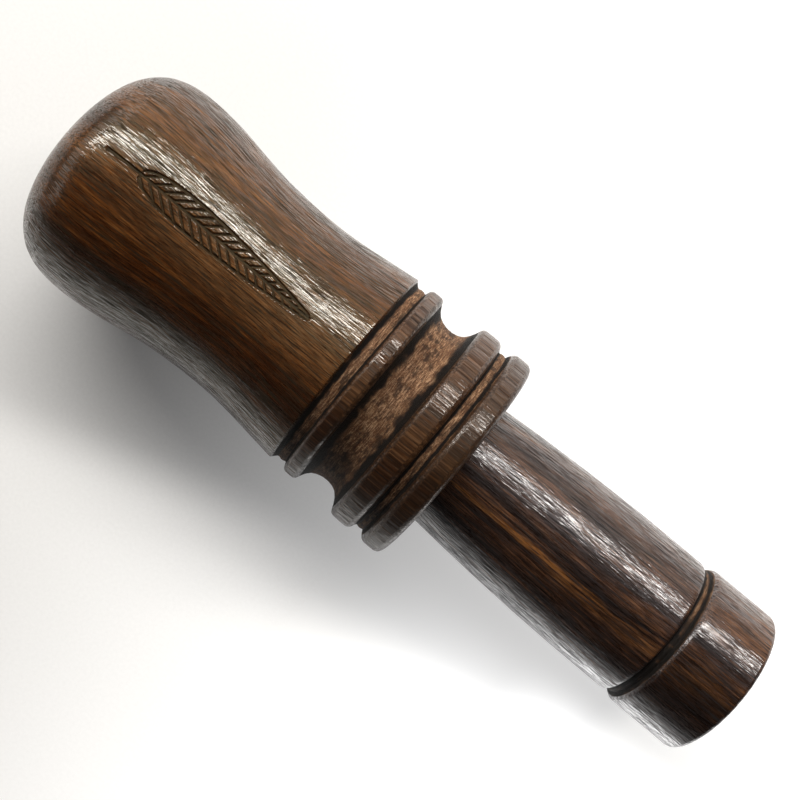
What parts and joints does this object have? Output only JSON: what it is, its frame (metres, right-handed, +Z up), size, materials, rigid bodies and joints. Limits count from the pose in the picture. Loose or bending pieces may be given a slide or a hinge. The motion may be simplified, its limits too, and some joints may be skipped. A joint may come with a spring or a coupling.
{
  "type": "bird call",
  "caption": "Turned hardwood bird call: waisted barrel with rounded mouth end, ring grooves and lanyard groove, and a tapered collared insert holding reeds on a sound board.",
  "frame": {"origin": "centre of the bounding box, on the surface that the call lies on", "axes": "+X along the call's axis from the mouth rim to the exhaust end, +Z up through the flat side of the reeds, +Y by the right-hand rule"},
  "size_m": [0.1298, 0.038, 0.0381],
  "materials": {
    "barrel_wood": "dark streaked hardwood, gloss lacquer over open pores",
    "insert_wood": "dark streaked hardwood, gloss lacquer over open pores",
    "board_plastic": "moulded, satin",
    "reed_film": "frosted polyester film",
    "cork": "natural cork, matt",
    "seal_rubber": "nitrile rubber, greased"
  },
  "bodies": {
    "barrel": {"barrel": "barrel_wood"},
    "seals": {"inner_o_ring": "seal_rubber", "outer_o_ring": "seal_rubber"},
    "insert": {"insert": "insert_wood"},
    "sound_board": {"tone_board": "board_plastic"},
    "wedge": {"reed_wedge": "cork"},
    "lower_reed": {"lower_reed": "reed_film"},
    "upper_reed": {"upper_reed": "reed_film"}
  },
  "joints": [
    {"name": "insert_pull", "type": "slide", "parent": "barrel", "child": "seals", "axis": [1, 0, 0], "range_m": [0, 0.06]},
    {"name": "insert_twist", "type": "hinge", "parent": "seals", "child": "insert", "pos_m": [0.0111, 0, 0.01905], "axis": [1, 0, 0], "continuous": true},
    {"name": "sound_board_pull", "type": "slide", "parent": "insert", "child": "sound_board", "axis": [-1, 0, 0], "range_m": [0, 0.018]},
    {"name": "wedge_pull", "type": "slide", "parent": "sound_board", "child": "wedge", "axis": [-1, 0, 0], "range_m": [0, 0.0098]},
    {"name": "lower_reed_flex", "type": "hinge", "parent": "sound_board", "child": "lower_reed", "pos_m": [-0.0123, 0, 0.01999], "axis": [0, 1, 0], "range_deg": [-1.5, 1], "stiffness_Nm_per_rad": 0.005, "deforming": ["lower_reed"]},
    {"name": "upper_reed_flex", "type": "hinge", "parent": "sound_board", "child": "upper_reed", "pos_m": [-0.0123, 0, 0.02026], "axis": [0, 1, 0], "range_deg": [-1.5, 1], "stiffness_Nm_per_rad": 0.005, "deforming": ["upper_reed"]}
  ],
  "couplings": [
    {"joint": "upper_reed_flex", "follows": "lower_reed_flex", "ratio": 1}
  ]
}
